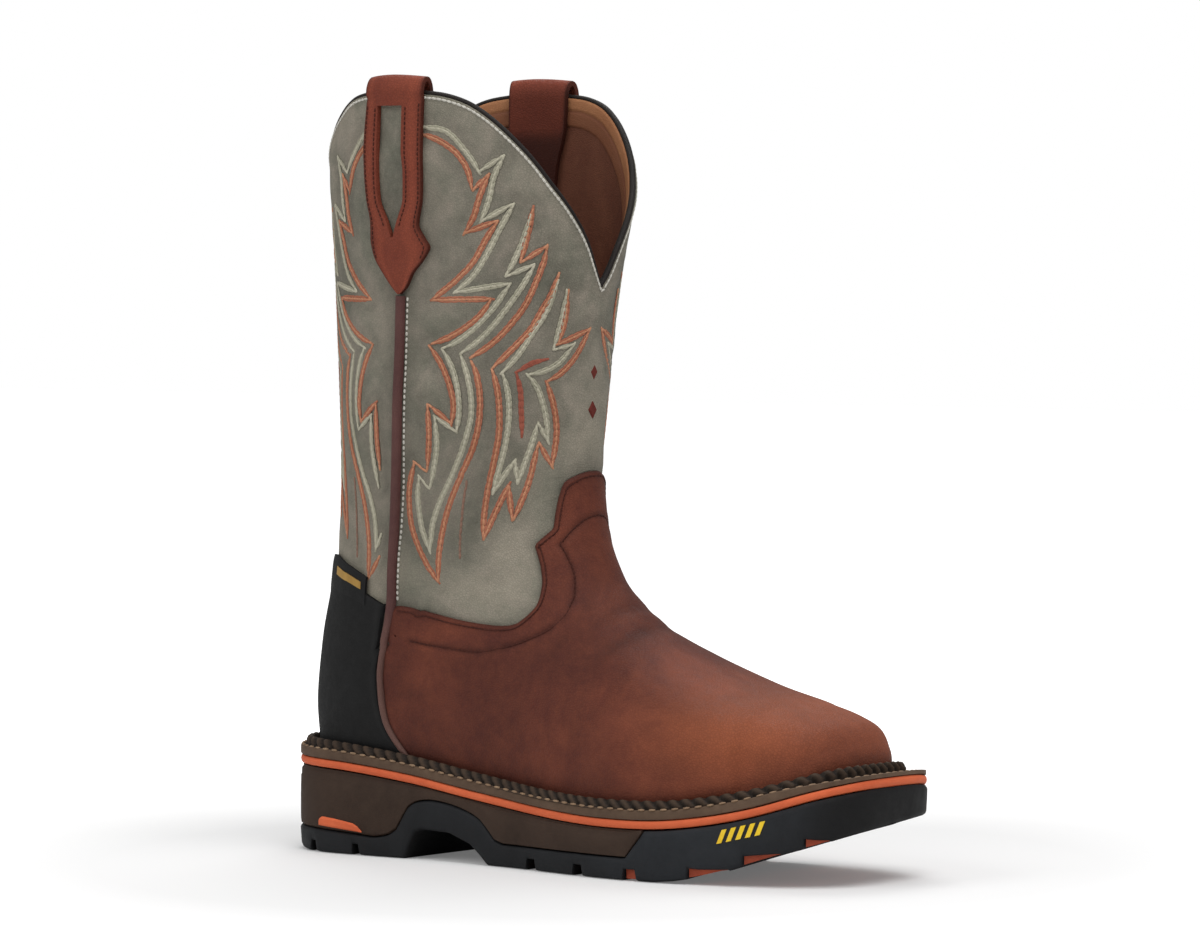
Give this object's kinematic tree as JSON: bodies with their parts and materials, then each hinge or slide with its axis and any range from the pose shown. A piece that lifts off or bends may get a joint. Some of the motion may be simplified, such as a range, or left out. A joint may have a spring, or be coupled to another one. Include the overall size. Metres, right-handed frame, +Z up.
{
  "type": "work boot",
  "caption": "Right square toe pull-on work boot with a scalloped leather shaft, side pull straps, heel counter, storm welt and lugged rubber sole with a raised heel.",
  "frame": {"origin": "on the floor plane, under the centre of the boot's bounding box", "axes": "+X from heel to toe, +Y to the inner (medial) side, +Z up the shaft"},
  "size_m": [0.3104, 0.1138, 0.3409],
  "materials": {
    "shaft_leather": "distressed, satin",
    "vamp_leather": "waxed, satin",
    "counter_leather": "smooth, satin",
    "strap_leather": "satin",
    "binding_leather": "satin",
    "insole_board": "matte",
    "welt_rubber": "matte",
    "orange_rubber": "matte",
    "brown_rubber": "matte",
    "black_rubber": "matte"
  },
  "bodies": {
    "root": {"upper": "shaft_leather", "vamp": "vamp_leather", "counter": "counter_leather", "heel_tab": "counter_leather", "side_piping_outer": "binding_leather", "side_piping_inner": "binding_leather", "collar_binding": "binding_leather", "pull_strap_outer": "strap_leather", "pull_strap_inner": "strap_leather", "insole": "insole_board", "welt": "welt_rubber", "midsole_line": "orange_rubber", "midsole": "brown_rubber", "outsole": "black_rubber", "heel_accent_outer": "orange_rubber", "heel_accent_inner": "orange_rubber", "tread_inlay_1": "orange_rubber", "tread_inlay_2": "orange_rubber", "tread_inlay_3": "orange_rubber", "tread_inlay_4": "orange_rubber", "tread_inlay_5": "orange_rubber", "tread_inlay_6": "orange_rubber"}
  },
  "joints": []
}
